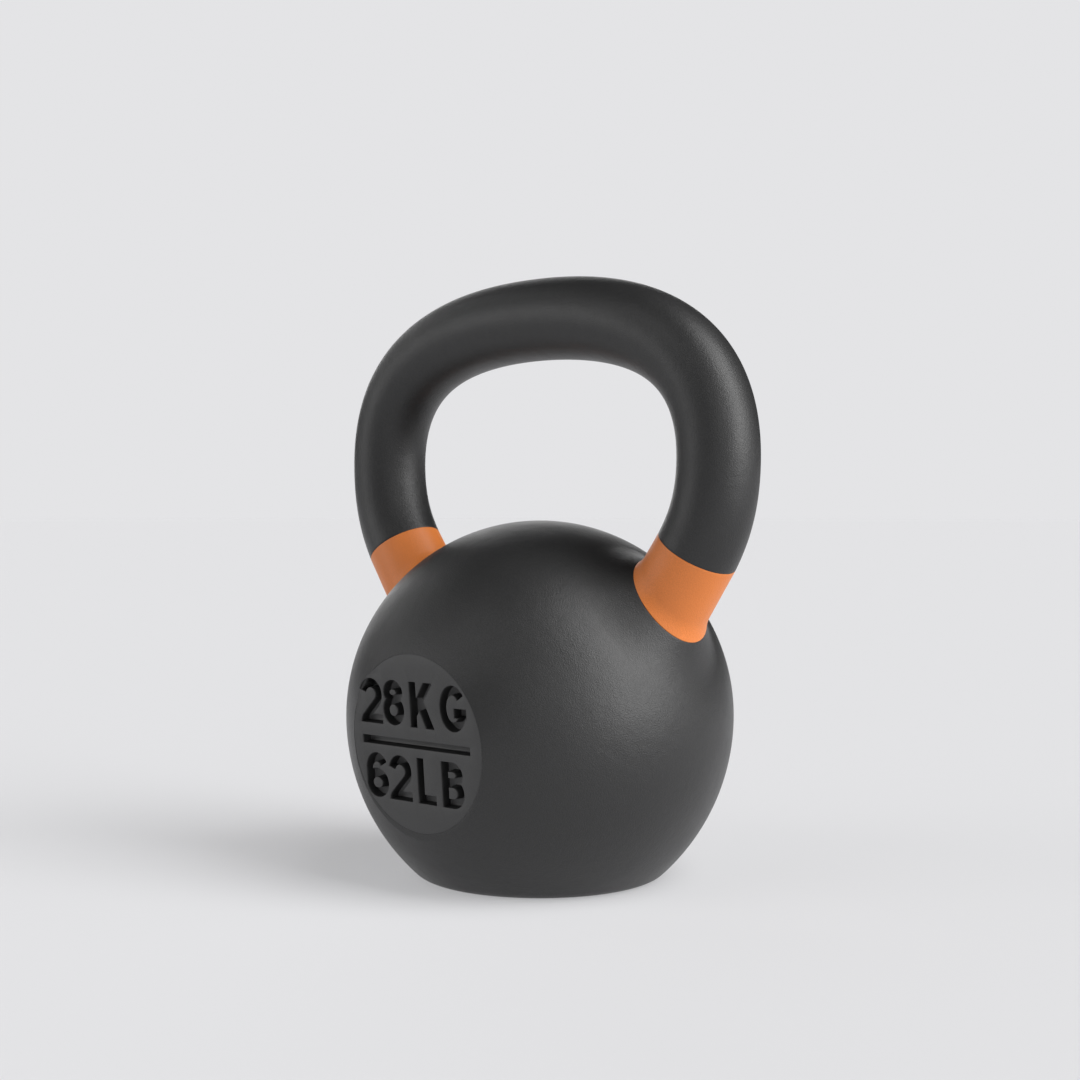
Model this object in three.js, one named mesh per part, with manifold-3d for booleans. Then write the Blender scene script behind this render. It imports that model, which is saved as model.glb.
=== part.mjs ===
// Kettlebell of 28 kg: a cast-iron ball with a flat base, a bent handle whose two feet are set into
// sockets in the ball, a coloured sleeve round each foot, and a marked plate let into the front.
// Millimetres, +Z up. The origin is the centre of the flat base, the handle lies in the XZ plane
// and the marked plate faces -Y.

import * as THREE from 'three';
import { mergeVertices } from 'three/addons/utils/BufferGeometryUtils.js';
import Module from 'manifold-3d';

// Ball: a sphere down to its equator, then a flatter flank that ends in a rounded base edge.
const BALL_RADIUS = 93.5;
const BALL_CENTRE_HEIGHT = 77.8;
const FLANK_RADIUS = 102.2;
const BASE_EDGE_RADIUS = 11.2;

// Handle centreline on the +X side. Each bend is a cubic curve, and a pull is how far its control
// point lies from its end.
const FOOT = { x: 73.5, z: 126.2, leanDegrees: 27.9, pull: 29.2 };
const SHOULDER = { x: 105.7, z: 200.2, pullDown: 37.5, pullUp: 43.1 };
const CROWN = { z: 268.3, pull: 73.7 };

// Handle bar radius, at the feet, at the slimmest place beside the shoulders, and over the grip.
const FOOT_RADIUS = 19.6;
const NECK_RADIUS = 18.65;
const GRIP_RADIUS = 19.7;
const GRIP_BLEND = 0.8; // share of the upper bend over which the neck grows to the grip

// Sleeves and the feet's tenons, by distance along the centreline from FOOT.
const SLEEVE_END = 37.7;
const SLEEVE_THICKNESS = 1.8;
const TENON_DEPTH = 30;
const SOCKET_TOP = 30;

// The ball swells to a collar round each foot, and the sleeve flares out to meet the collar's
// top. Heights are above the ball's surface.
const FLARE_RADIUS = 13;
const COLLAR_HEIGHT = 6.5;
const COLLAR_WIDTH = 22; // over which the swelling dies away, along the ball's surface
const COLLAR_STEP = 0.4; // how far the sleeve stands out over the collar
const COLLAR_EDGE = 0.3; // the collar's lowest edge, kept clear of the ball's flats
const COLLAR_ROOT = 2; // how deep the collar is sunk into the ball

// Marked plate: its face is a flat cut of the ball, turned slightly down.
const PLATE_DISTANCE = 84.1; // from the ball's centre to the face
const PLATE_TILT_DEGREES = 4.5;
const PLATE_THICKNESS = 10;
const MARK_DEPTH = 5;
const POCKET_OVERCUT = 10; // how far the pocket's cutter rises over the face

// Marking: plain strokes of one width, the mass in kilograms over the mass in pounds.
const STROKE = 4.2;
const CAP_HEIGHT = 20.6;
const DIGIT_GAP = 0.6;
const LETTER_GAP = 3.9;
const UPPER_ROW = { left: -35.4, base: 7.5 };
const LOWER_ROW = { left: -33.8, base: -26.9 };
const RULE = { left: -35, right: 33.6, middle: -0.3, height: 3.7 };

const GAP = 0.3; // clearance between pieces that touch
const SIDES = { ball: 56, bar: 24, sleeve: 32, plate: 56 };
const ROWS = { core: 4, lowerBar: 5, upperBar: 16, sleeve: 3, flare: 4, socket: 3 };
const HALVINGS = 40; // in the search for a distance along the bar
const ARC_STEP_DEGREES = 18;

const UP = new THREE.Vector3(0, 0, 1);
const BALL_CENTRE = new THREE.Vector3(0, 0, BALL_CENTRE_HEIGHT);

const wasm = await Module();
wasm.setup();

// ---- solids ----

function closedMesh(vertices, triangles) {
  const geometry = new THREE.BufferGeometry();
  geometry.setAttribute('position', new THREE.Float32BufferAttribute(vertices, 3));
  geometry.setIndex(triangles);
  return geometry;
}

function toSolid(source) {
  const bare = source.clone();
  bare.deleteAttribute('normal');
  bare.deleteAttribute('uv');
  const merged = mergeVertices(bare, 1e-4);
  const index = merged.index.array;
  const kept = [];
  for (let i = 0; i < index.length; i += 3) {
    const [a, b, c] = index.slice(i, i + 3);
    if (a !== b && b !== c && c !== a) kept.push(a, b, c);
  }
  return new wasm.Manifold(new wasm.Mesh({
    numProp: 3,
    vertProperties: new Float32Array(merged.attributes.position.array),
    triVerts: new Uint32Array(kept),
  }));
}

function toGeometry(solid) {
  const { vertProperties, triVerts } = solid.getMesh();
  return closedMesh(Array.from(vertProperties), Array.from(triVerts));
}

// Joins rows of points into a skin. Every row goes round, and every row has as many points.
function gridFaces(rows, columns, closed) {
  const triangles = [];
  for (let r = 0; r < (closed ? rows : rows - 1); r += 1) {
    for (let c = 0; c < columns; c += 1) {
      const a = r * columns + c;
      const b = r * columns + ((c + 1) % columns);
      const up = ((r + 1) % rows) * columns - r * columns;
      triangles.push(a, b, b + up, a, b + up, a + up);
    }
  }
  return triangles;
}

// ---- outlines in two dimensions ----

function arc(cx, cy, rx, ry, fromDegrees, toDegrees, stepDegrees = ARC_STEP_DEGREES) {
  const steps = Math.max(2, Math.ceil(Math.abs(toDegrees - fromDegrees) / stepDegrees));
  return Array.from({ length: steps + 1 }, (_, i) => {
    const angle = THREE.MathUtils.degToRad(fromDegrees + ((toDegrees - fromDegrees) * i) / steps);
    return [cx + rx * Math.cos(angle), cy + ry * Math.sin(angle)];
  });
}

// The outline of a stroke of one width along a line of points, with square ends.
function stroke(points, width = STROKE) {
  const sides = [[], []];
  points.forEach(([x, y], i) => {
    const [x0, y0] = points[Math.max(i - 1, 0)];
    const [x1, y1] = points[Math.min(i + 1, points.length - 1)];
    const reach = width / 2 / Math.hypot(x1 - x0, y1 - y0);
    sides[0].push([x - (y1 - y0) * reach, y + (x1 - x0) * reach]);
    sides[1].push([x + (y1 - y0) * reach, y - (x1 - x0) * reach]);
  });
  return [...sides[1], ...sides[0].reverse()];
}

function ring(cx, cy, rx, ry) {
  const overlap = 5;
  return [
    stroke(arc(cx, cy, rx, ry, -overlap, 180 + overlap)),
    stroke(arc(cx, cy, rx, ry, 180 - overlap, 360 + overlap)),
  ];
}

// ---- letterforms: each is a width and the outlines that it is made of, on a base line at 0 ----

const HALF = STROKE / 2;
const TOP = CAP_HEIGHT - HALF;
const stem = () => stroke([[HALF, 0], [HALF, CAP_HEIGHT]]);
const foot = (width) => stroke([[HALF, HALF], [width, HALF]]);

function two() {
  const width = 14.6;
  const bend = width / 2 - HALF;
  const neck = 3;
  return {
    width,
    outlines: [
      stroke([
        ...arc(width / 2, TOP - bend, bend, bend, 165, -45),
        ...arc(HALF + neck, 0, neck, neck, 135, 180),
      ]),
      foot(width),
    ],
  };
}

function eight() {
  const width = 13.6;
  const waist = 11.6;
  const upper = (TOP - waist) / 2;
  const lower = (waist - HALF) / 2;
  return {
    width,
    outlines: [
      ...ring(width / 2, waist + upper, 4.1, upper),
      ...ring(width / 2, waist - lower, width / 2 - HALF, lower),
    ],
  };
}

function six() {
  const width = 14.4;
  const bend = width / 2 - HALF;
  const bowl = 4.6;
  const hook = 5.7;
  return {
    width,
    outlines: [
      ...ring(width / 2, HALF + bowl, bend, bowl),
      stroke([...arc(width / 2, TOP - hook, bend, hook, 30, 180), [HALF, HALF + bowl]]),
    ],
  };
}

function letterK() {
  const arm = [[9.2, CAP_HEIGHT], [HALF, 10.1], [HALF, 5], [STROKE, 5.2], [14.8, CAP_HEIGHT]];
  const leg = [[5.4, 9], [9.7, 0], [15, 0], [9, 12.1]];
  return { width: 15, outlines: [stem(), arm, leg] };
}

function letterG() {
  const width = 16.3;
  const bar = 8.4;
  return {
    width,
    outlines: [
      stroke(arc(width / 2, CAP_HEIGHT / 2, width / 2 - HALF, TOP - CAP_HEIGHT / 2, 38, 352)),
      stroke([[width / 2 + 0.5, bar], [width, bar]]),
    ],
  };
}

function letterL() {
  const width = 11.4;
  return { width, outlines: [stem(), foot(width)] };
}

function letterB() {
  const waist = 11.4;
  const bowl = (bottom, top, straight, reach) => {
    const half = (top - bottom) / 2;
    const bend = arc(straight, bottom + half, reach, half, 90, -90);
    return stroke([[HALF, top], ...bend, [HALF, bottom]]);
  };
  return {
    width: 13.9,
    outlines: [stem(), bowl(waist, TOP, 6.9, 4.1), bowl(HALF, waist, 6.9, 4.65)],
  };
}

function prism(outline, depth) {
  const shape = new THREE.Shape(outline.map(([x, y]) => new THREE.Vector2(x, y)));
  return new THREE.ExtrudeGeometry(shape, { depth, bevelEnabled: false });
}

// One row of glyphs, cut MARK_DEPTH into a face at z = 0.
function rowCutters(row, glyphs) {
  const cutters = [];
  let left = row.left;
  for (const { glyph, gapAfter } of glyphs) {
    for (const outline of glyph.outlines) {
      const solid = prism(outline, MARK_DEPTH * 2);
      solid.translate(left, row.base, -MARK_DEPTH);
      cutters.push(toSolid(solid));
    }
    left += glyph.width + gapAfter;
  }
  return cutters;
}

function ruleCutter() {
  const ends = [[RULE.left, RULE.middle], [RULE.right, RULE.middle]];
  const solid = prism(stroke(ends, RULE.height), MARK_DEPTH * 2);
  return toSolid(solid.translate(0, 0, -MARK_DEPTH));
}

function markCutter() {
  const upper = [
    { glyph: two(), gapAfter: DIGIT_GAP },
    { glyph: eight(), gapAfter: LETTER_GAP },
    { glyph: letterK(), gapAfter: LETTER_GAP },
    { glyph: letterG(), gapAfter: 0 },
  ];
  const lower = [
    { glyph: six(), gapAfter: DIGIT_GAP },
    { glyph: two(), gapAfter: LETTER_GAP },
    { glyph: letterL(), gapAfter: LETTER_GAP },
    { glyph: letterB(), gapAfter: 0 },
  ];
  const cutters = [...rowCutters(UPPER_ROW, upper), ...rowCutters(LOWER_ROW, lower)];
  return cutters.reduce((joined, cutter) => joined.add(cutter), ruleCutter());
}

// ---- the handle's centreline and radius, by distance from FOOT ----

function point(x, z) {
  return new THREE.Vector3(x, 0, z);
}

const lean = THREE.MathUtils.degToRad(FOOT.leanDegrees);
const footPoint = point(FOOT.x, FOOT.z);
const footDirection = point(Math.sin(lean), Math.cos(lean));
const lowerBend = new THREE.CubicBezierCurve3(
  footPoint,
  footPoint.clone().addScaledVector(footDirection, FOOT.pull),
  point(SHOULDER.x, SHOULDER.z - SHOULDER.pullDown),
  point(SHOULDER.x, SHOULDER.z),
);
const upperBend = new THREE.CubicBezierCurve3(
  point(SHOULDER.x, SHOULDER.z),
  point(SHOULDER.x, SHOULDER.z + SHOULDER.pullUp),
  point(CROWN.pull, CROWN.z),
  point(0, CROWN.z),
);
const lowerLength = lowerBend.getLength();
const upperLength = upperBend.getLength();

function barRadius(distance) {
  if (distance < lowerLength) {
    const share = THREE.MathUtils.smoothstep(distance, 0, lowerLength);
    return THREE.MathUtils.lerp(FOOT_RADIUS, NECK_RADIUS, share);
  }
  const share = THREE.MathUtils.smoothstep(distance - lowerLength, 0, upperLength * GRIP_BLEND);
  return THREE.MathUtils.lerp(NECK_RADIUS, GRIP_RADIUS, share);
}

// The centreline point there, and the unit vector in the handle's plane that points outwards.
function station(distance) {
  if (distance <= 0) {
    const centre = footPoint.clone().addScaledVector(footDirection, distance);
    return { centre, outward: point(footDirection.z, -footDirection.x) };
  }
  const low = distance < lowerLength;
  const bend = low ? lowerBend : upperBend;
  const share = low ? distance / lowerLength : (distance - lowerLength) / upperLength;
  const tangent = bend.getTangentAt(Math.min(share, 1));
  return { centre: bend.getPointAt(Math.min(share, 1)), outward: point(tangent.z, -tangent.x) };
}

function aroundBar(distance, radius, angle) {
  const { centre, outward } = station(distance);
  const offset = outward.multiplyScalar(radius * Math.cos(angle));
  offset.y = radius * Math.sin(angle);
  return centre.add(offset);
}

// A bar along the +X side through a list of {distance, radius}, as rings of points.
function barRings(stations) {
  return stations.map(({ distance, radius }) => Array.from({ length: SIDES.bar }, (_, i) => (
    aroundBar(distance, radius, (2 * Math.PI * i) / SIDES.bar)
  )));
}

function capped(rings) {
  const middle = (points) => points.reduce((sum, p) => sum.add(p), point(0, 0))
    .divideScalar(points.length);
  const sides = rings[0].length;
  const count = rings.length * sides;
  const points = [...rings.flat(), middle(rings[0]), middle(rings[rings.length - 1])];
  const triangles = gridFaces(rings.length, sides, false);
  for (let i = 0; i < sides; i += 1) {
    const next = (i + 1) % sides;
    const last = count - sides;
    triangles.push(count, next, i, count + 1, last + i, last + next);
  }
  return closedMesh(points.flatMap((p) => [p.x, p.y, p.z]), triangles);
}

function spread(from, to, steps) {
  return Array.from({ length: steps + 1 }, (_, i) => from + ((to - from) * i) / steps);
}

const coreRadius = (distance) => barRadius(Math.max(distance, 0)) - SLEEVE_THICKNESS - GAP;

function handle() {
  const shoulder = SLEEVE_END + GAP;
  const core = [-TENON_DEPTH, ...spread(0, shoulder, ROWS.core)]
    .map((distance) => ({ distance, radius: coreRadius(distance) }));
  const bar = [
    ...spread(shoulder, lowerLength, ROWS.lowerBar).slice(0, -1),
    ...spread(lowerLength, lowerLength + upperLength, ROWS.upperBar),
  ].map((distance) => ({ distance, radius: barRadius(distance) }));
  const right = barRings([...core, ...bar]);
  const mirrored = (p) => new THREE.Vector3(-p.x, p.y, p.z);
  const left = right.slice(0, -1).reverse().map((points) => points.map(mirrored));
  return capped([...right, ...left]);
}

// A socket for one foot, cut from deep in the ball to above its collar.
function socketCutter() {
  const distances = [-TENON_DEPTH - GAP, ...spread(0, SOCKET_TOP, ROWS.socket)];
  const rings = barRings(distances.map((distance) => (
    { distance, radius: coreRadius(distance) + GAP }
  )));
  return toSolid(capped(rings));
}

// ---- the flares round the feet: a sleeve over a collar ----

// The point beside the bar, at an angle round it, that lies a given height above the ball.
function besideBall(radiusAt, angle, height) {
  let low = -TENON_DEPTH;
  let high = SLEEVE_END;
  for (let i = 0; i < HALVINGS; i += 1) {
    const middle = (low + high) / 2;
    const away = aroundBar(middle, radiusAt(middle), angle).distanceTo(BALL_CENTRE);
    if (away < BALL_RADIUS + height) low = middle;
    else high = middle;
  }
  return aroundBar(high, radiusAt(high), angle);
}

const outerRadius = (distance) => barRadius(Math.max(distance, 0));
const innerRadius = (distance) => outerRadius(distance) - SLEEVE_THICKNESS;

function flare(height) {
  const drop = Math.max(FLARE_RADIUS - height, 0);
  return FLARE_RADIUS - Math.sqrt(FLARE_RADIUS ** 2 - drop ** 2);
}

// One slice of the sleeve, from its top edge down outside, over the collar and up inside.
function sleeveSlice(angle) {
  const outside = (height) => besideBall((d) => outerRadius(d) + flare(height), angle, height);
  const topOutside = aroundBar(SLEEVE_END, outerRadius(SLEEVE_END), angle);
  const topInside = aroundBar(SLEEVE_END, innerRadius(SLEEVE_END), angle);
  const edge = COLLAR_HEIGHT + GAP;
  const above = spread(0, 1, ROWS.sleeve).slice(0, -1)
    .map((share) => topOutside.clone().lerp(outside(FLARE_RADIUS), share));
  const flared = spread(FLARE_RADIUS, edge, ROWS.flare).map(outside);
  return [...above, ...flared, besideBall(innerRadius, angle, edge), topInside];
}

// Joins slices of points round the bar into a skin, row by row from the top.
function rowsOf(slices) {
  return slices[0].map((_, r) => slices.map((slice) => slice[r]));
}

function aroundFoot(sliceAt) {
  return Array.from({ length: SIDES.sleeve }, (_, i) => (
    sliceAt((2 * Math.PI * i) / SIDES.sleeve)
  ));
}

function sleeve() {
  const rows = rowsOf(aroundFoot(sleeveSlice));
  const triangles = gridFaces(rows.length, SIDES.sleeve, true).reverse();
  return closedMesh(rows.flat().flatMap((p) => [p.x, p.y, p.z]), triangles);
}

// One slice of a collar, from inside the socket over its top and away down into the ball. It
// leaves the bar along the ball's surface.
function collarSlice(angle) {
  const overTop = (d) => outerRadius(d) + flare(COLLAR_HEIGHT) - COLLAR_STEP;
  const pole = besideBall(() => 0, 0, COLLAR_HEIGHT).sub(BALL_CENTRE).normalize();
  const start = besideBall(overTop, angle, COLLAR_HEIGHT).sub(BALL_CENTRE).normalize();
  const axis = pole.clone().cross(start).normalize();
  const at = (share, height) => start.clone()
    .applyAxisAngle(axis, (share * COLLAR_WIDTH) / BALL_RADIUS)
    .multiplyScalar(BALL_RADIUS + height)
    .add(BALL_CENTRE);
  const last = 1 - Math.sqrt(COLLAR_EDGE / COLLAR_HEIGHT);
  const sides = spread(0, last, ROWS.flare)
    .map((share) => at(share, COLLAR_HEIGHT * (1 - share) ** 2));
  const inSocket = besideBall((d) => coreRadius(d) - GAP, angle, COLLAR_HEIGHT);
  return [inSocket, ...sides, at(last, -COLLAR_ROOT)];
}

function collar() {
  return toSolid(capped(rowsOf(aroundFoot(collarSlice)).reverse()));
}

function mirroredSleeve() {
  const geometry = sleeve().scale(-1, 1, 1);
  geometry.setIndex(Array.from(geometry.index.array).reverse());
  return geometry;
}

// ---- ball and plate ----

function bellProfile() {
  const flankX = BALL_RADIUS - FLANK_RADIUS;
  const drop = BALL_CENTRE_HEIGHT - BASE_EDGE_RADIUS;
  const reach = FLANK_RADIUS - BASE_EDGE_RADIUS;
  const edgeX = flankX + Math.sqrt(reach ** 2 - drop ** 2);
  const meet = THREE.MathUtils.radToDeg(Math.atan2(-drop, edgeX - flankX));
  const step = 360 / SIDES.ball;
  const radius = BASE_EDGE_RADIUS;
  return [
    [0, 0],
    ...arc(edgeX, radius, radius, radius, -90, meet, 12),
    ...arc(flankX, BALL_CENTRE_HEIGHT, FLANK_RADIUS, FLANK_RADIUS, meet, 0, step).slice(1),
    ...arc(0, BALL_CENTRE_HEIGHT, BALL_RADIUS, BALL_RADIUS, 0, 90, step).slice(1, -1),
    [0, BALL_CENTRE_HEIGHT + BALL_RADIUS],
  ];
}

const plateTurn = THREE.MathUtils.degToRad(90 + PLATE_TILT_DEGREES);
const plateNormal = UP.clone().applyAxisAngle(new THREE.Vector3(1, 0, 0), plateTurn);
const plateCentre = BALL_CENTRE.clone().addScaledVector(plateNormal, PLATE_DISTANCE);
const pocketRadius = Math.sqrt(BALL_RADIUS ** 2 - PLATE_DISTANCE ** 2);

// A disc under a face at z = 0, with as much again above it where it cuts.
function roundSlab(radius, below, above) {
  const slab = new THREE.CylinderGeometry(radius, radius, below + above, SIDES.plate);
  return slab.rotateX(Math.PI / 2).translate(0, 0, (above - below) / 2);
}

function pocketCutter() {
  const slab = roundSlab(pocketRadius, PLATE_THICKNESS + GAP, POCKET_OVERCUT);
  slab.rotateX(plateTurn);
  return toSolid(slab.translate(plateCentre.x, plateCentre.y, plateCentre.z));
}

function bell() {
  const profile = bellProfile().map(([x, z]) => new THREE.Vector2(x, z));
  const ball = toSolid(new THREE.LatheGeometry(profile, SIDES.ball).rotateX(Math.PI / 2));
  const rightCollar = collar();
  const rightSocket = socketCutter();
  return toGeometry(ball.add(rightCollar)
    .add(rightCollar.mirror([1, 0, 0]))
    .subtract(rightSocket)
    .subtract(rightSocket.mirror([1, 0, 0]))
    .subtract(pocketCutter()));
}

function weightPlate() {
  const slab = toSolid(roundSlab(pocketRadius - GAP, PLATE_THICKNESS, 0));
  return toGeometry(slab.subtract(markCutter()));
}

// ---- assembly ----

const blackCoat = new THREE.MeshStandardMaterial({ color: 0x333436, roughness: 0.7, metalness: 0.2 });
const plateCoat = new THREE.MeshStandardMaterial({ color: 0x444546, roughness: 0.6, metalness: 0.2 });
const orangeCoat = new THREE.MeshStandardMaterial({ color: 0xc9743a, roughness: 0.7, metalness: 0 });

function named(name, geometry, material) {
  const mesh = new THREE.Mesh(geometry, material);
  mesh.name = name;
  return mesh;
}

const kettlebell = new THREE.Group();
kettlebell.add(named('bell', bell(), blackCoat));
kettlebell.add(named('handle', handle(), blackCoat));
kettlebell.add(named('colour_band_right', sleeve(), orangeCoat));
kettlebell.add(named('colour_band_left', mirroredSleeve(), orangeCoat));

const plate = named('weight_plate', weightPlate(), plateCoat);
plate.position.copy(plateCentre);
plate.rotation.x = plateTurn;
kettlebell.add(plate);

export default kettlebell;
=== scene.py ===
"""The 28 kg kettlebell's looks: powder-coated iron, two orange foot bands and a marked plate.

Lengths are in millimetres until a mesh is made, and +Z is up. The base's centre is the origin,
the handle lies in the XZ plane and the marked plate faces -Y.
"""

import math

import bmesh
import bpy
import numpy as np
from mathutils import Matrix, Vector
from mathutils.geometry import delaunay_2d_cdt


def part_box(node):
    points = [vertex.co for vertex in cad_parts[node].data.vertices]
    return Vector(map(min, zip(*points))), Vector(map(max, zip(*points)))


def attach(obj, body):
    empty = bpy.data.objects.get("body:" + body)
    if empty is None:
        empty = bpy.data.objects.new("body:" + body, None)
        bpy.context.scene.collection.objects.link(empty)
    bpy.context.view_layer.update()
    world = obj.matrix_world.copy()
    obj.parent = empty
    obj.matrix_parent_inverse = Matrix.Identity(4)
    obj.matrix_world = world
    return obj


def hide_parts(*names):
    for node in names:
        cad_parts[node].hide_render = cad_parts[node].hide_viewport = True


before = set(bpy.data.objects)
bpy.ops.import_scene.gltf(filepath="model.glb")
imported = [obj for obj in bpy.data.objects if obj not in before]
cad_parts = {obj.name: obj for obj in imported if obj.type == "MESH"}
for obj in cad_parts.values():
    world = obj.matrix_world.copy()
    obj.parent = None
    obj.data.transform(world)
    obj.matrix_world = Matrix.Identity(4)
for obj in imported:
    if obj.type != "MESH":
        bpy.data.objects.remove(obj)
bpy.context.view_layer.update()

MM = 0.001


def box_mm(node):
    low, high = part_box(node)
    return np.array(low) / MM, np.array(high) / MM


# ---- driving dimensions, the same as the frame's ----

BELL_HIGH = box_mm("bell")[1]
BALL_RADIUS = BELL_HIGH[1]
BALL_CENTRE = np.array([0, 0, BELL_HIGH[2] - BALL_RADIUS])
FLANK_RADIUS = 102.2
BASE_EDGE_RADIUS = 11.2

GRIP_RADIUS = 19.7
NECK_RADIUS = 18.65
FOOT_RADIUS = 19.6
GRIP_BLEND = 0.8
HANDLE_HIGH = box_mm("handle")[1]
FOOT = np.array([73.5, 126.2])
FOOT_LEAN = math.radians(27.9)
FOOT_PULL = 29.2
SHOULDER = np.array([HANDLE_HIGH[0] - NECK_RADIUS, 200.2])
SHOULDER_PULLS = (37.5, 43.1)
CROWN = np.array([0, HANDLE_HIGH[2] - GRIP_RADIUS])
CROWN_PULL = 73.7

SLEEVE_END = 37.7
SLEEVE_THICKNESS = 1.8
TENON_DEPTH = 30.0
SOCKET_TOP = 30.0

FLARE_RADIUS = 13.0
COLLAR_HEIGHT = 6.5
COLLAR_WIDTH = 22.0
COLLAR_STEP = 0.4

PLATE_DISTANCE = 84.1
PLATE_TILT = math.radians(4.5)
PLATE_THICKNESS = 10.0
PLATE_RADIUS = math.sqrt(BALL_RADIUS**2 - PLATE_DISTANCE**2)
MARK_DEPTH = 5.0

STROKE = 4.2
CAP_HEIGHT = 20.6
DIGIT_GAP = 0.6
LETTER_GAP = 3.9

UPPER_ROW = (-35.4, 7.5)
LOWER_ROW = (-33.8, -26.9)
RULE_ENDS = [(-35, -0.3), (33.6, -0.3)]
RULE_HEIGHT = 3.7

# ---- fine shape, only in these meshes ----

SEAM = 0.05  # between pieces that touch
ARRIS = 0.15  # the softened edge of a piece
ARRIS_CORNER = 0.3 * ARRIS  # where its middle point lies
BAND_ROUND = 0.5
COLLAR_DIP = 0.04  # how far the collar's far edge sinks under the ball
COLLAR_ROOT = 2.0
SHARP_ANGLE = math.radians(35)
BAR_SIDES = 112
BALL_SIDES = 288
PLATE_SIDES = 256
HALVINGS = 40  # in the search for a height along the bar


# ---- meshes ----

def new_mesh(name, vertices, faces):
    mesh = bpy.data.meshes.new(name)
    mesh.from_pydata((np.asarray(vertices, float) * MM).tolist(), [], [list(f) for f in faces])
    return mesh


def new_piece(name, vertices, faces, nodes, material):
    return add_piece(name, new_mesh(name, vertices, faces), nodes, material)


def add_piece(name, mesh, nodes, material):
    bm = bmesh.new()
    bm.from_mesh(mesh)
    bmesh.ops.recalc_face_normals(bm, faces=bm.faces)
    for face in bm.faces:
        face.smooth = True
    bm.to_mesh(mesh)
    bm.free()
    mesh.set_sharp_from_angle(angle=SHARP_ANGLE)
    mesh.materials.clear()
    mesh.materials.append(material)
    piece = bpy.data.objects.new(name, mesh)
    bpy.context.scene.collection.objects.link(piece)
    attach(piece, "root")
    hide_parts(*nodes)
    return piece


def grid_faces(rows, columns, closed_rows=False):
    faces = []
    for r in range(rows if closed_rows else rows - 1):
        here = r * columns
        above = (r + 1) % rows * columns
        for c in range(columns):
            after = (c + 1) % columns
            faces.append((here + c, here + after, above + after, above + c))
    return faces


def arc(cx, cy, rx, ry, start, end, steps):
    angles = np.radians(np.linspace(start, end, steps + 1))
    return np.column_stack([cx + rx * np.cos(angles), cy + ry * np.sin(angles)])


# ---- the handle's centreline and radius, by distance from its foot ----

def bezier(points, steps=400):
    t = np.linspace(0, 1, steps + 1)[:, None]
    p0, p1, p2, p3 = (np.asarray(p, float) for p in points)
    return (1 - t) ** 3 * p0 + 3 * (1 - t) ** 2 * t * p1 + 3 * (1 - t) * t**2 * p2 + t**3 * p3


def centreline():
    lean = np.array([math.sin(FOOT_LEAN), math.cos(FOOT_LEAN)])
    down, up = SHOULDER_PULLS
    below = TENON_DEPTH * 1.2
    tenon = FOOT - np.outer(np.linspace(below, 0, 40, endpoint=False), lean)
    lower = bezier([FOOT, FOOT + FOOT_PULL * lean, SHOULDER - [0, down], SHOULDER])
    upper = bezier([SHOULDER, SHOULDER + [0, up], CROWN + [CROWN_PULL, 0], CROWN])
    line = np.vstack([tenon, lower[:-1], upper])
    travel = np.concatenate([[0], np.cumsum(np.hypot(*np.diff(line, axis=0).T))]) - below
    shoulder_at = travel[len(tenon) + len(lower) - 1]
    return line, travel, shoulder_at


LINE, TRAVEL, SHOULDER_AT = centreline()
CROWN_AT = TRAVEL[-1]
TANGENT = np.gradient(LINE, TRAVEL, axis=0)
TANGENT[-1] = [-1, 0]
TANGENT /= np.hypot(*TANGENT.T)[:, None]


def smoothstep(x):
    x = np.clip(x, 0, 1)
    return x * x * (3 - 2 * x)


def bar_radius(at):
    low = FOOT_RADIUS + (NECK_RADIUS - FOOT_RADIUS) * smoothstep(at / SHOULDER_AT)
    share = (at - SHOULDER_AT) / ((CROWN_AT - SHOULDER_AT) * GRIP_BLEND)
    high = NECK_RADIUS + (GRIP_RADIUS - NECK_RADIUS) * smoothstep(share)
    return np.where(at < SHOULDER_AT, low, high)


def core_radius(at):
    return bar_radius(np.maximum(at, 0)) - SLEEVE_THICKNESS - SEAM


def around_bar(at, radius, angle):
    """Points beside the +X half of the bar; at, radius and angle are arrays of one shape."""
    x, z = (np.interp(at, TRAVEL, LINE[:, i]) for i in (0, 1))
    tx, tz = (np.interp(at, TRAVEL, TANGENT[:, i]) for i in (0, 1))
    out = radius * np.cos(angle)
    return np.stack([x + out * tz, radius * np.sin(angle), z - out * tx], axis=-1)


def bar_rings(stations, sides):
    at, radius = np.array(stations, float).T
    angles = np.linspace(0, 2 * math.pi, sides, endpoint=False)
    at, angle = np.meshgrid(at, angles, indexing="ij")
    return around_bar(at, radius[:, None] * np.ones_like(at), angle)


def mirrored(points):
    return points * [-1, 1, 1]


def capped_grid(rings):
    rows, sides = rings.shape[:2]
    faces = grid_faces(rows, sides)
    faces.append(range(sides)[::-1])
    faces.append(range((rows - 1) * sides, rows * sides))
    return rings.reshape(-1, 3), faces


def make_handle(material):
    joint = SLEEVE_END + SEAM
    core = [(at, core_radius(at)) for at in (-TENON_DEPTH, 0, joint / 2, joint)]
    edge = [(joint, bar_radius(joint) - ARRIS),
            (joint + ARRIS_CORNER, bar_radius(joint) - ARRIS_CORNER)]
    bar = [(at, bar_radius(at)) for at in np.linspace(joint + ARRIS, CROWN_AT, 170)]
    right = bar_rings(core + edge + bar, BAR_SIDES)
    left = mirrored(right[-2::-1])
    vertices, faces = capped_grid(np.concatenate([right, left]))
    return new_piece("handle_bar", vertices, faces, ["handle"], material)


# ---- bands over collars, round the handle's feet; heights are above the ball ----

FOOT_SIDES = 160
FOOT_ANGLES = np.linspace(0, 2 * math.pi, FOOT_SIDES, endpoint=False)


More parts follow.
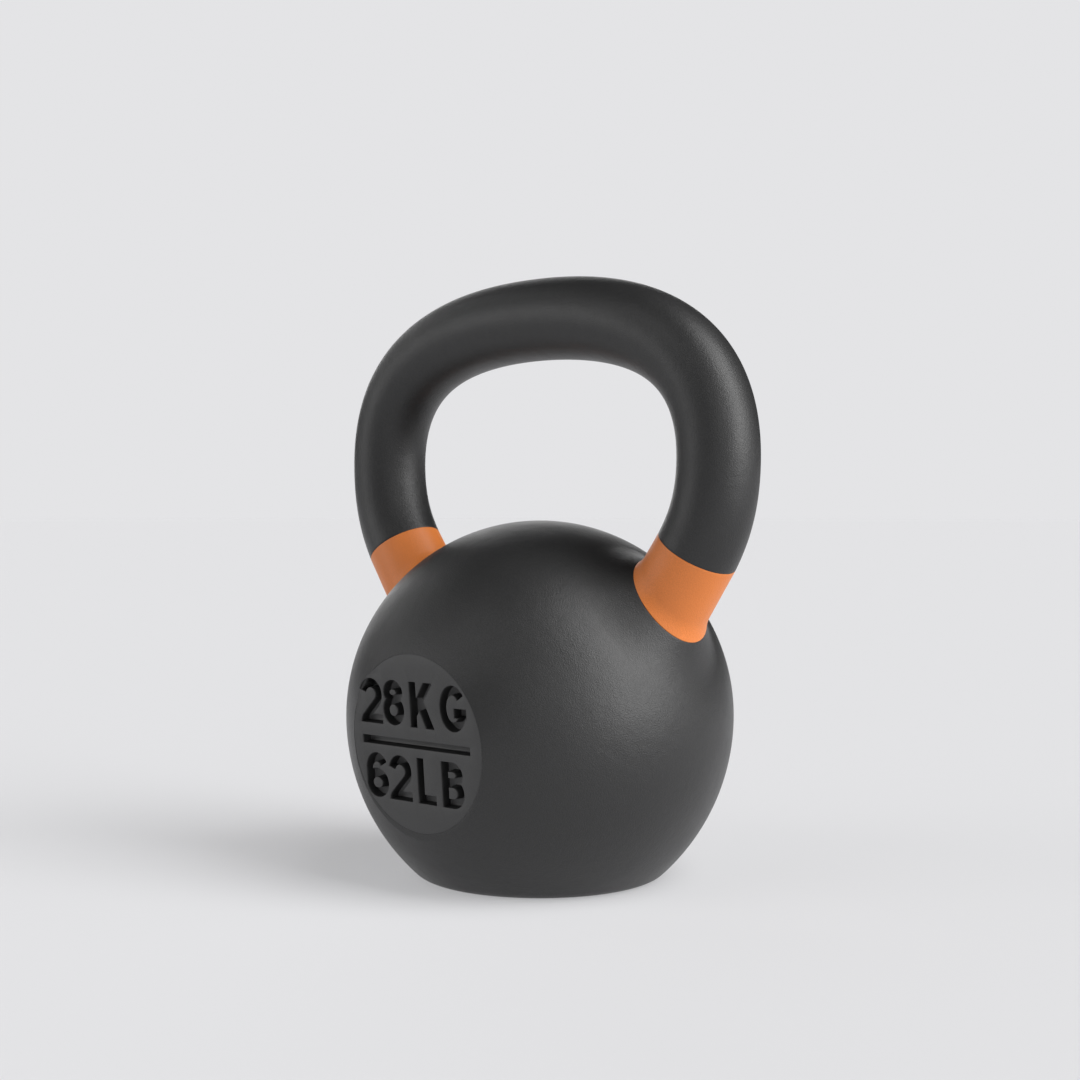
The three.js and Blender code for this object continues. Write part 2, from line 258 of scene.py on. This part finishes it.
def beside_ball(radius_at, height):
    """The ring of points round the foot that lie a given height above the ball."""
    low = np.full(FOOT_SIDES, -TENON_DEPTH)
    high = np.full(FOOT_SIDES, SLEEVE_END)
    for _ in range(HALVINGS):
        middle = (low + high) / 2
        points = around_bar(middle, radius_at(middle), FOOT_ANGLES)
        near = np.linalg.norm(points - BALL_CENTRE, axis=-1) < BALL_RADIUS + height
        low = np.where(near, middle, low)
        high = np.where(near, high, middle)
    return around_bar(high, radius_at(high), FOOT_ANGLES)


def outer_radius(at):
    return bar_radius(np.maximum(at, 0))


def inner_radius(at):
    return outer_radius(at) - SLEEVE_THICKNESS


def flare(height):
    drop = max(FLARE_RADIUS - height, 0)
    return FLARE_RADIUS - math.sqrt(FLARE_RADIUS**2 - drop**2)


def level_ring(at, radius):
    return around_bar(np.full(FOOT_SIDES, at), np.full(FOOT_SIDES, radius), FOOT_ANGLES)


def make_band(name, node, flip, material):
    outside = lambda height, inset=0.0: beside_ball(
        lambda at: outer_radius(at) + flare(height) - inset, height)
    end = outer_radius(SLEEVE_END)
    lip = COLLAR_HEIGHT + SEAM
    top = level_ring(SLEEVE_END - ARRIS, end)
    low = outside(FLARE_RADIUS)
    rows = [level_ring(SLEEVE_END, end - ARRIS),
            level_ring(SLEEVE_END - ARRIS_CORNER, end - ARRIS_CORNER)]
    rows += [top + (low - top) * share for share in np.linspace(0, 1, 30)[:-1]]
    rows += [outside(height) for height in np.linspace(FLARE_RADIUS, lip + BAND_ROUND, 24)]
    for turn in np.radians(np.arange(15, 91, 15)):
        drop = BAND_ROUND * math.sin(turn)
        rows.append(outside(lip + BAND_ROUND - drop, BAND_ROUND * (1 - math.cos(turn))))
    rows.append(beside_ball(inner_radius, lip))
    inside_top = level_ring(SLEEVE_END, end - SLEEVE_THICKNESS)
    rows += [rows[-1] * 0.5 + inside_top * 0.5, inside_top]
    points = np.array(rows)
    points = mirrored(points) if flip else points
    faces = grid_faces(len(rows), FOOT_SIDES, closed_rows=True)
    return new_piece(name, points.reshape(-1, 3), faces, [node], material)


def closed_tool(name, rings, flip):
    vertices, faces = capped_grid(mirrored(rings) if flip else rings)
    mesh = new_mesh(name, vertices, faces)
    bm = bmesh.new()
    bm.from_mesh(mesh)
    bmesh.ops.recalc_face_normals(bm, faces=bm.faces)
    bm.to_mesh(mesh)
    bm.free()
    return mesh


def unit(vectors):
    return vectors / np.linalg.norm(vectors, axis=-1)[..., None]


def collar_mesh(flip):
    """The swelling round a foot, which leaves the bar along the ball's surface."""
    over_top = lambda at: outer_radius(at) + flare(COLLAR_HEIGHT) - COLLAR_STEP
    start = unit(beside_ball(over_top, COLLAR_HEIGHT) - BALL_CENTRE)
    pole = unit(beside_ball(np.zeros_like, COLLAR_HEIGHT)[0] - BALL_CENTRE)
    away = unit(start - (start @ pole)[:, None] * pole)
    spread = np.arccos(start @ pole)[:, None]

    def surface_ring(share, height):
        turn = spread + share * COLLAR_WIDTH / BALL_RADIUS
        return BALL_CENTRE + (pole * np.cos(turn) + away * np.sin(turn)) * (BALL_RADIUS + height)

    rings = [beside_ball(lambda at: core_radius(at) - 1, COLLAR_HEIGHT)]
    for share in np.linspace(0, 1, 36):
        rings.append(surface_ring(share, (COLLAR_HEIGHT + COLLAR_DIP) * (1 - share) ** 2 - COLLAR_DIP))
    rings.append(surface_ring(1, -COLLAR_ROOT))
    return closed_tool("collar", np.array(rings), flip)


# ---- ball ----

def bell_profile():
    flank_x = BALL_RADIUS - FLANK_RADIUS
    drop = BALL_CENTRE[2] - BASE_EDGE_RADIUS
    reach = FLANK_RADIUS - BASE_EDGE_RADIUS
    edge_x = flank_x + math.sqrt(reach**2 - drop**2)
    meet = math.degrees(math.atan2(-drop, edge_x - flank_x))
    edge = arc(edge_x, BASE_EDGE_RADIUS, BASE_EDGE_RADIUS, BASE_EDGE_RADIUS, -90, meet, 14)
    flank = arc(flank_x, BALL_CENTRE[2], FLANK_RADIUS, FLANK_RADIUS, meet, 0, 50)
    ball = arc(0, BALL_CENTRE[2], BALL_RADIUS, BALL_RADIUS, 0, 90, 100)
    return np.vstack([edge, flank[1:], ball[1:-1]])


def ball_mesh():
    sides = BALL_SIDES
    profile = bell_profile()
    turn = np.linspace(0, 2 * math.pi, sides, endpoint=False)
    x, z = profile.T
    rings = np.stack([np.outer(x, np.cos(turn)), np.outer(x, np.sin(turn)),
                      np.outer(z, np.ones(sides))], axis=-1)
    faces = grid_faces(len(profile), sides)
    faces.append(range(sides)[::-1])
    last = len(profile) * sides
    top = [(last - sides + i, last - sides + (i + 1) % sides, last) for i in range(sides)]
    vertices = np.vstack([rings.reshape(-1, 3), BALL_CENTRE + [0, 0, BALL_RADIUS]])
    return new_mesh("ball", vertices, faces + top)


def plate_matrix():
    """Places a plate modelled face up at the origin, where the ball carries it."""
    turn = Matrix.Rotation(math.pi / 2 + PLATE_TILT, 4, "X")
    out = np.array(turn @ Vector((0, 0, 1)))
    return Matrix.Translation(Vector((BALL_CENTRE + out * PLATE_DISTANCE) * MM)) @ turn


def open_pocket(mesh):
    """Cuts the ball flat in front and sinks a round pocket behind the cut."""
    place = plate_matrix()
    out = place.to_3x3() @ Vector((0, 0, 1))
    bm = bmesh.new()
    bm.from_mesh(mesh)
    everything = bm.verts[:] + bm.edges[:] + bm.faces[:]
    bmesh.ops.bisect_plane(bm, geom=everything, plane_co=place.translation, plane_no=out,
                           clear_outer=True, dist=1e-7)
    rim = [e for e in bm.edges if e.is_boundary]
    radius = PLATE_RADIUS - ARRIS / 3
    for depth in (ARRIS / 3, PLATE_THICKNESS + SEAM):
        grown = bmesh.ops.extrude_edge_only(bm, edges=rim)["geom"]
        for v in (g for g in grown if isinstance(g, bmesh.types.BMVert)):
            flat = place.inverted() @ v.co
            length = math.hypot(flat.x, flat.y)
            v.co = place @ Vector((flat.x / length * radius * MM, flat.y / length * radius * MM,
                                   -depth * MM))
        rim = [g for g in grown if isinstance(g, bmesh.types.BMEdge) and g.is_boundary]
    bmesh.ops.contextual_create(bm, geom=rim)
    bm.to_mesh(mesh)
    bm.free()
    return mesh


def combined(mesh, steps):
    """A mesh after a list of (operation, closed mesh) steps."""
    body = bpy.data.objects.new("uncut", mesh)
    bpy.context.scene.collection.objects.link(body)
    tools = []
    for operation, shape in steps:
        tool = bpy.data.objects.new("tool", shape)
        bpy.context.scene.collection.objects.link(tool)
        step = body.modifiers.new("step", "BOOLEAN")
        step.operation = operation
        step.solver = "EXACT"
        step.object = tool
        tools.append(tool)
    bpy.context.view_layer.update()
    evaluated = body.evaluated_get(bpy.context.evaluated_depsgraph_get())
    result = bpy.data.meshes.new_from_object(evaluated)
    for used in [body, *tools]:
        bpy.data.objects.remove(used)
    return result


def socket_mesh(flip):
    along = np.linspace(-TENON_DEPTH - SEAM, SOCKET_TOP, 12)
    stations = [(at, core_radius(at) + SEAM) for at in along]
    return closed_tool("socket", bar_rings(stations, BAR_SIDES), flip)


def make_bell(material):
    steps = [("UNION", collar_mesh(False)), ("UNION", collar_mesh(True)),
             ("DIFFERENCE", socket_mesh(False)), ("DIFFERENCE", socket_mesh(True))]
    mesh = combined(open_pocket(ball_mesh()), steps)
    return add_piece("bell_ball", mesh, ["bell"], material)


# ---- marking: plain strokes of one width, as outlines on a base line at 0 ----

HALF = STROKE / 2
TOP = CAP_HEIGHT - HALF


def stroke(points, width=STROKE):
    points = np.asarray(points, float)
    first = points[1:2] - points[:1]
    last = points[-1:] - points[-2:-1]
    along = np.vstack([first, points[2:] - points[:-2], last])
    side = np.column_stack([-along[:, 1], along[:, 0]]) / np.hypot(*along.T)[:, None] * width / 2
    return np.vstack([points - side, (points + side)[::-1]])


def ring(cx, cy, rx, ry):
    return [stroke(arc(cx, cy, rx, ry, -5, 185, 40)), stroke(arc(cx, cy, rx, ry, 175, 365, 40))]


def stem():
    return stroke([(HALF, 0), (HALF, CAP_HEIGHT)])


def foot_bar(width):
    return stroke([(HALF, HALF), (width, HALF)])


def two():
    width = 14.6
    bend = width / 2 - HALF
    neck = 3
    swan = np.vstack([arc(width / 2, TOP - bend, bend, bend, 165, -45, 40),
                      arc(HALF + neck, 0, neck, neck, 135, 180, 12)])
    return width, [stroke(swan), foot_bar(width)]


def eight():
    width = 13.6
    waist = 11.6
    upper = (TOP - waist) / 2
    lower = (waist - HALF) / 2
    return width, [*ring(width / 2, waist + upper, 4.1, upper),
                   *ring(width / 2, waist - lower, width / 2 - HALF, lower)]


def six():
    width = 14.4
    bend = width / 2 - HALF
    bowl = 4.6
    hook = 5.7
    back = np.vstack([arc(width / 2, TOP - hook, bend, hook, 30, 180, 30), [(HALF, HALF + bowl)]])
    return width, [*ring(width / 2, HALF + bowl, bend, bowl), stroke(back)]


def letter_k():
    arm = [(9.2, CAP_HEIGHT), (HALF, 10.1), (HALF, 5), (STROKE, 5.2), (14.8, CAP_HEIGHT)]
    leg = [(5.4, 9), (9.7, 0), (15, 0), (9, 12.1)]
    return 15, [stem(), np.array(arm, float), np.array(leg, float)]


def letter_g():
    width = 16.3
    bar = 8.4
    middle = CAP_HEIGHT / 2
    bowl = stroke(arc(width / 2, middle, width / 2 - HALF, TOP - middle, 38, 352, 60))
    return width, [bowl, stroke([(width / 2 + 0.5, bar), (width, bar)])]


def letter_l():
    width = 11.4
    return width, [stem(), foot_bar(width)]


def letter_b():
    waist = 11.4

    def bowl(bottom, top, straight, reach):
        half = (top - bottom) / 2
        bend = arc(straight, bottom + half, reach, half, 90, -90, 24)
        return stroke(np.vstack([[(HALF, top)], bend, [(HALF, bottom)]]))

    return 13.9, [stem(), bowl(waist, TOP, 6.9, 4.1), bowl(HALF, waist, 6.9, 4.65)]


def mark_outlines():
    rows = [(UPPER_ROW, [two(), eight(), letter_k(), letter_g()]),
            (LOWER_ROW, [six(), two(), letter_l(), letter_b()])]
    outlines = [stroke(RULE_ENDS, RULE_HEIGHT)]
    for (left, base), glyphs in rows:
        for (width, shapes), gap in zip(glyphs, (DIGIT_GAP, LETTER_GAP, LETTER_GAP, 0)):
            outlines += [shape + [left, base] for shape in shapes]
            left += width + gap
    return outlines


# ---- plate: its face is a relief whose depth follows the distance from the strokes' edges ----

FIELD_STEP = 0.25
FIELD_LOW = np.array([-38.0, -30.0])
FIELD_SHAPE = (300, 246)
FIELD_FAR = 9.0  # the distance given to points that no stroke is near
FIELD_MARGIN = 1.5  # how far round a stroke its distance is worked out
# (distance outside a stroke's edge, depth below the face) from the rim down to the floor
RECESS = ((0.35, 0.0), (0.17, 0.05), (0.06, 0.15), (0.0, 0.35),
          (-0.3, MARK_DEPTH - 0.5), (-0.42, MARK_DEPTH - 0.12), (-0.8, MARK_DEPTH))


def polygon_distance(points, outline):
    """The signed distance of points from a polygon's edge, negative inside."""
    start = outline
    step = np.roll(outline, -1, axis=0) - outline
    away = points[:, None] - start
    share = np.clip((away * step).sum(-1) / (step * step).sum(-1), 0, 1)
    distance = np.linalg.norm(away - share[..., None] * step, axis=-1).min(1)
    end = start + step
    crosses = (start[:, 1] > points[:, 1:]) != (end[:, 1] > points[:, 1:])
    rise = np.where(step[:, 1] == 0, 1, step[:, 1])
    at = start[:, 0] + (points[:, 1:] - start[:, 1]) / rise * step[:, 0]
    inside = (crosses & (points[:, :1] < at)).sum(1) % 2 == 1
    return np.where(inside, -distance, distance)


def stroke_field():
    field = np.full(FIELD_SHAPE, FIELD_FAR)
    for outline in mark_outlines():
        low = np.floor((outline.min(0) - FIELD_MARGIN - FIELD_LOW) / FIELD_STEP).astype(int)
        high = np.ceil((outline.max(0) + FIELD_MARGIN - FIELD_LOW) / FIELD_STEP).astype(int)
        i, j = np.meshgrid(*(np.arange(a, b) for a, b in zip(low, high)), indexing="ij")
        points = np.column_stack([i.ravel(), j.ravel()]) * FIELD_STEP + FIELD_LOW
        near = polygon_distance(points, outline).reshape(i.shape)
        field[i, j] = np.minimum(field[i, j], near)
    return field


def contour(field, level):
    """Points and edges of the line on which the field has this level."""
    value = field - level
    value[value == 0] = 1e-9
    above = value > 0
    mixed = above[:-1, :-1] ^ above[1:, :-1] | above[:-1, :-1] ^ above[:-1, 1:]
    mixed |= above[:-1, :-1] ^ above[1:, 1:]
    points, found, edges = [], {}, []

    def crossing(a, b):
        key = (min(a, b), max(a, b))
        if key not in found:
            share = value[a] / (value[a] - value[b])
            found[key] = len(points)
            points.append((np.array(a) + share * (np.array(b) - a)) * FIELD_STEP + FIELD_LOW)
        return found[key]

    for i, j in zip(*np.nonzero(mixed)):
        corner, across = (i, j), (i + 1, j + 1)
        for third in ((i + 1, j), (i, j + 1)):
            sides = ((corner, third), (third, across), (corner, across))
            cut = [crossing(a, b) for a, b in sides if above[a] != above[b]]
            if len(cut) == 2:
                edges.append(tuple(cut))
    return points, edges


def face_relief(radius, sides):
    """Vertices and triangles of the plate's face, with the marking sunk into it."""
    field = stroke_field()
    points = [tuple(p) for p in arc(0, 0, radius, radius, 0, 360, sides)[:-1]]
    depths = [0.0] * sides
    edges = [(i, (i + 1) % sides) for i in range(sides)]
    for distance, depth in RECESS:
        found, joined = contour(field, distance)
        edges += [(a + len(points), b + len(points)) for a, b in joined]
        points += [tuple(p) for p in found]
        depths += [depth] * len(found)
    corners = [Vector(p) for p in points]
    flat, _, triangles, origins, _, _ = delaunay_2d_cdt(corners, edges, [], 0, 1e-5)
    heights = [-depths[origin[0]] if origin else 0.0 for origin in origins]
    return [(p.x, p.y, z) for p, z in zip(flat, heights)], triangles


def make_plate(material):
    sides = PLATE_SIDES
    radius = PLATE_RADIUS - SEAM - ARRIS / 3
    vertices, faces = face_relief(radius - ARRIS, sides)
    start = len(vertices)
    rim = ((radius - ARRIS, 0), (radius - ARRIS_CORNER, -ARRIS_CORNER), (radius, -ARRIS),
           (radius, -PLATE_THICKNESS))
    for reach, height in rim:
        circle = arc(0, 0, reach, reach, 0, 360, sides)[:-1]
        vertices += [(x, y, height) for x, y in circle]
    faces = list(faces) + [tuple(start + i for i in f) for f in grid_faces(len(rim), sides)]
    faces.append(tuple(range(len(vertices) - sides, len(vertices))))
    mesh = new_mesh("plate", vertices, faces)
    bm = bmesh.new()
    bm.from_mesh(mesh)
    bmesh.ops.remove_doubles(bm, verts=bm.verts, dist=1e-3 * MM)
    bm.to_mesh(mesh)
    bm.free()
    mesh.transform(plate_matrix())
    return add_piece("marked_plate", mesh, ["weight_plate"], material)


# ---- materials ----

NEUTRAL = (1, 1.0, 1.01)
ORANGE_TINT = (1, 0.29, 0.06)
PATCH_MM = 30  # the size of the slow changes of tone and gloss
ROLL_MM = 6
GLOSS_CHANGE = 0.04
# Painted shade and painted light in the plate's recesses: the walls are made darker and the floors
# lighter than the face, standing in for how light falls there.
WALL_SHADE_START, WALL_SHADE_FULL = 0.2, 1.2  # mm below the face, where the painted shade on the recess walls sets in
FLOOR_LIGHT_START, FLOOR_LIGHT_FULL = 0.6, 0.1  # mm above the recess's floor, where the painted light on the floor sets in
# Base colour levels of the painted shade on the recess walls and the painted light on the recess
# floors.
WALL_PAINTED_SHADE = 0.012
FLOOR_PAINTED_LIGHT = 0.075


class Shader:
    """A node tree with a Principled shader, and short calls to add nodes to it."""

    def __init__(self, name):
        self.material = bpy.data.materials.new(name)
        self.material.use_nodes = True
        self.tree = self.material.node_tree
        self.principled = self.tree.nodes["Principled BSDF"]
        self.place = self.tree.nodes.new("ShaderNodeTexCoord").outputs["Object"]

    def add(self, kind, inputs=None, **settings):
        node = self.tree.nodes.new(kind)
        for key, value in settings.items():
            setattr(node, key, value)
        for key, value in (inputs or {}).items():
            self.set(node.inputs[key], value)
        return node

    def set(self, socket, value):
        if isinstance(value, bpy.types.NodeSocket):
            self.tree.links.new(value, socket)
        else:
            socket.default_value = value

    def noise(self, size_mm, detail=2.0, roughness=0.5):
        inputs = {"Vector": self.place, "Scale": 1 / (size_mm * MM), "Detail": detail,
                  "Roughness": roughness}
        return self.add("ShaderNodeTexNoise", inputs).outputs["Fac"]

    def remap(self, value, low, high, to_low, to_high):
        inputs = {"Value": value, "From Min": low, "From Max": high,
                  "To Min": to_low, "To Max": to_high}
        return self.add("ShaderNodeMapRange", inputs).outputs["Result"]

    def mix(self, factor, first, second, blend="MIX"):
        node = self.add("ShaderNodeMix", data_type="RGBA", blend_type=blend)
        self.set(node.inputs[0], factor)
        self.set(node.inputs[6], first)
        self.set(node.inputs[7], second)
        return node.outputs[2]

    def bump(self, height, depth_mm, under=None):
        inputs = {"Height": height, "Distance": depth_mm * MM}
        if under is not None:
            inputs["Normal"] = under
        return self.add("ShaderNodeBump", inputs).outputs["Normal"]


def powder_coat(name, colour, dark, light, roughness, specular, grain_mm, grain_depth_mm):
    """A sprayed coat: fine grain, a rolling surface below it, and changes of tone and gloss."""
    s = Shader(name)
    grain = s.noise(grain_mm, 2.0, 0.6)
    broad = s.noise(PATCH_MM, 3.0, 0.55)
    speck = s.remap(s.noise(grain_mm * 0.7, 2.0, 0.6), 0.35, 0.65, 0, 1)
    tone = s.mix(speck, dark, light)
    patch = s.mix(s.remap(broad, 0.35, 0.65, 0.3, 0.8), colour, tone)
    s.set(s.principled.inputs["Base Color"], patch)
    gloss = s.remap(broad, 0.3, 0.7, roughness - GLOSS_CHANGE, roughness + GLOSS_CHANGE)
    s.set(s.principled.inputs["Roughness"], gloss)
    rolling = s.bump(s.noise(ROLL_MM, 2.0, 0.5), grain_depth_mm)
    s.set(s.principled.inputs["Normal"], s.bump(grain, grain_depth_mm, rolling))
    s.principled.inputs["Specular IOR Level"].default_value = specular
    return s


def rgb(level, tint):
    return (level * tint[0], level * tint[1], level * tint[2], 1)


def black_coat():
    return powder_coat("black_powder_coat", rgb(0.02, NEUTRAL), rgb(0.012, NEUTRAL),
                       rgb(0.03, NEUTRAL), 0.4, 0.42, 0.6, 0.14).material


def plate_coat():
    """Lighter than on the ball. In the recesses the walls get painted shade, darker than the face,
    and the floors get painted light, lighter than the face; both are set for this lighting
    and are not a known second coat."""
    s = powder_coat("plate_coat", rgb(0.042, NEUTRAL), rgb(0.036, NEUTRAL), rgb(0.05, NEUTRAL),
                    0.48, 0.42, 0.6, 0.04)
    place = plate_matrix()
    out = (place.to_3x3() @ Vector((0, 0, 1))).normalized()
    along = s.add("ShaderNodeVectorMath", {0: s.place, 1: out}, operation="DOT_PRODUCT")
    face = place.translation.dot(out)
    # A mask for the painted shade, which grows with depth below the face.
    inside = s.remap(along.outputs["Value"], face - WALL_SHADE_FULL * MM, face - WALL_SHADE_START * MM, 1, 0)
    # A mask for the painted light on the recess floors.
    floor = s.remap(along.outputs["Value"], face - (MARK_DEPTH - FLOOR_LIGHT_FULL) * MM,
                    face - (MARK_DEPTH - FLOOR_LIGHT_START) * MM, 1, 0)
    coat = s.principled.inputs["Base Color"].links[0].from_socket
    # Painted shade darkens the recesses, then painted light lightens their floors.
    walls = s.mix(inside, coat, rgb(WALL_PAINTED_SHADE, NEUTRAL))
    s.set(s.principled.inputs["Base Color"], s.mix(floor, walls, rgb(FLOOR_PAINTED_LIGHT, NEUTRAL)))
    return s.material


def orange_coat():
    return powder_coat("orange_coat", rgb(0.66, ORANGE_TINT), rgb(0.55, ORANGE_TINT),
                       rgb(0.76, ORANGE_TINT), 0.45, 0.45, 0.6, 0.12).material


# ---- stage, light and camera ----

BACKDROP = (0.775, 0.775, 0.79)
AMBIENT = 0.03
FLOOR_GLOW = 0.45
FLOOR_SHADE = (0.402, 0.402, 0.41, 1)
FLOOR_HALF = 60.0  # metres


def floor_material():
    """A matt pale floor that glows a little, as a lit sweep does, so that shadows stay light."""
    s = Shader("pale_floor")
    s.principled.inputs["Base Color"].default_value = FLOOR_SHADE
    s.principled.inputs["Roughness"].default_value = 0.5
    s.principled.inputs["Specular IOR Level"].default_value = 0.0
    s.principled.inputs["Emission Color"].default_value = (*BACKDROP, 1)
    s.principled.inputs["Emission Strength"].default_value = FLOOR_GLOW
    return s.material


def make_world():
    world = bpy.data.worlds.new("studio")
    bpy.context.scene.world = world
    world.use_nodes = True
    background = world.node_tree.nodes["Background"]
    background.inputs["Color"].default_value = (*BACKDROP, 1)
    path = world.node_tree.nodes.new("ShaderNodeLightPath")
    seen = world.node_tree.nodes.new("ShaderNodeMapRange")
    world.node_tree.links.new(path.outputs["Is Camera Ray"], seen.inputs["Value"])
    seen.inputs["To Min"].default_value = AMBIENT
    world.node_tree.links.new(seen.outputs["Result"], background.inputs["Strength"])


def make_floor():
    mesh = bpy.data.meshes.new("floor")
    half = FLOOR_HALF
    mesh.from_pydata([(-half, -half, 0), (half, -half, 0), (half, half, 0), (-half, half, 0)], [],
                     [(0, 1, 2, 3)])
    mesh.materials.append(floor_material())
    floor = bpy.data.objects.new("floor", mesh)
    bpy.context.scene.collection.objects.link(floor)
    return floor


CAMERA_AZIMUTH = math.radians(41.6)
CAMERA_ELEVATION = math.radians(0.86)
CAMERA_DISTANCE = 812.1
CAMERA_AIM = 161.8
CAMERA_LENS = 55.82
CAMERA_SENSOR = 36


def make_camera():
    camera = bpy.data.objects.new("camera", bpy.data.cameras.new("camera"))
    camera.data.lens = CAMERA_LENS
    camera.data.sensor_width = CAMERA_SENSOR
    back = np.array([math.sin(CAMERA_AZIMUTH) * math.cos(CAMERA_ELEVATION),
                     -math.cos(CAMERA_AZIMUTH) * math.cos(CAMERA_ELEVATION),
                     math.sin(CAMERA_ELEVATION)])
    camera.location = Vector((back * CAMERA_DISTANCE + [0, 0, CAMERA_AIM]) * MM)
    camera.rotation_mode = "QUATERNION"
    camera.rotation_quaternion = Vector(-back).to_track_quat("-Z", "Y")
    camera.data.clip_start = 0.05
    camera.data.clip_end = 200
    bpy.context.scene.collection.objects.link(camera)
    bpy.context.scene.camera = camera
    return camera


def direction(right, up, near):
    """A way in the scene from a way given to the right, up and towards the camera."""
    cos, sin = math.cos(CAMERA_AZIMUTH), math.sin(CAMERA_AZIMUTH)
    return Vector((cos * right + sin * near, sin * right - cos * near, up))


def sun(name, way, strength, spread_degrees):
    lamp = bpy.data.lights.new(name, "SUN")
    lamp.energy = strength
    lamp.angle = math.radians(spread_degrees)
    holder = bpy.data.objects.new(name, lamp)
    holder.rotation_mode = "QUATERNION"
    holder.rotation_quaternion = direction(*way).normalized().to_track_quat("Z", "Y")
    bpy.context.scene.collection.objects.link(holder)
    return holder


# Each soft light: its bearing from the camera to the right, its height (both in degrees),
# its strength on a surface that faces it, and the angle that it fills.
STUDIO_LIGHTS = (
    ("key_low", 57, 6, 2.5, 44),
    ("key_middle", 62, 34, 1.4, 40),
    ("key_high", 62, 58, 1.5, 38),
    ("side", 92, 10, 0.25, 28),
    ("back", 188, 12, 0.6, 40),
    ("back_left", 232, 26, 0.25, 36),
    ("left", 274, 10, 0.65, 34),
    ("left_high", 302, 40, 0.4, 40),
    ("front", 8, 22, 0.35, 40),
)


def light_studio():
    for name, bearing, height, strength, spread in STUDIO_LIGHTS:
        turn, rise = math.radians(bearing), math.radians(height)
        way = (math.sin(turn) * math.cos(rise), math.sin(rise), math.cos(turn) * math.cos(rise))
        sun(name, way, strength, spread)


# ---- assembly ----

make_camera()
make_world()
make_floor()
light_studio()
bpy.context.scene.view_settings.view_transform = "Standard"

BLACK = black_coat()
ORANGE = orange_coat()
make_bell(BLACK)
make_handle(BLACK)
make_band("band_right", "colour_band_right", False, ORANGE)
make_band("band_left", "colour_band_left", True, ORANGE)
make_plate(plate_coat())
